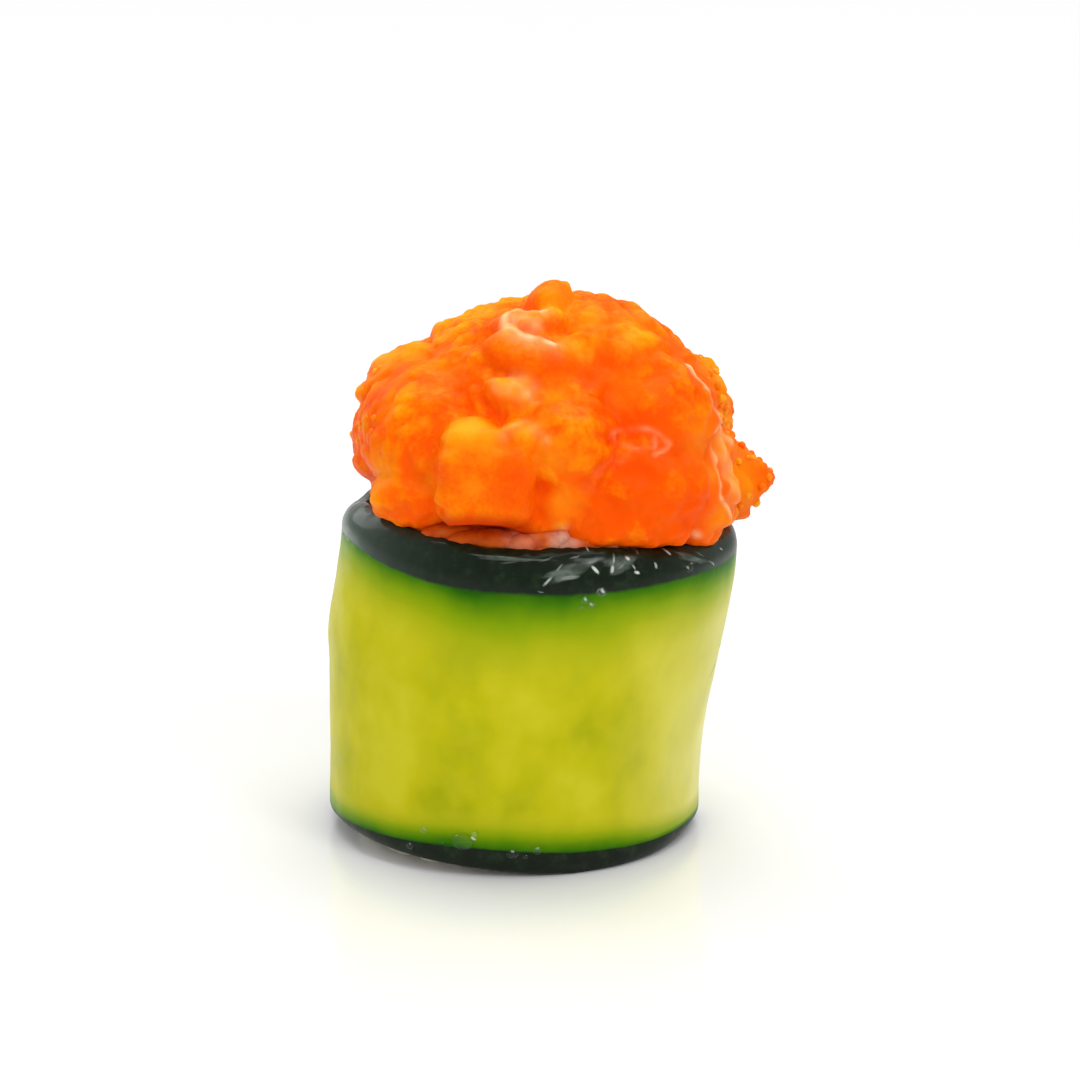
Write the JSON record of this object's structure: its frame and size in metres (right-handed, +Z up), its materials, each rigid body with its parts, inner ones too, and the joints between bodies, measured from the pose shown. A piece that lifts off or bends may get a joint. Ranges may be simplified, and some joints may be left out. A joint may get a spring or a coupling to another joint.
{
  "type": "gunkan sushi",
  "caption": "Gunkan sushi: pressed rice in a rolled cucumber ribbon, heaped with chopped seafood and fish roe in orange sauce.",
  "frame": {"origin": "centre of the rice's flat underside, on the plane that the sushi rests on", "axes": "+Z up, -Y to the front, +X towards the ribbon's outer end"},
  "size_m": [0.0414, 0.0343, 0.0517],
  "materials": {
    "cucumber": "wet cucumber flesh with dark green skin along both edges",
    "rice": "moist cooked short-grain rice, stained orange near the topping",
    "topping": "chopped seafood and roe glossy with orange sauce"
  },
  "bodies": {
    "root": {"cucumber_wrap": "cucumber", "rice": "rice", "topping": "topping"}
  },
  "joints": []
}
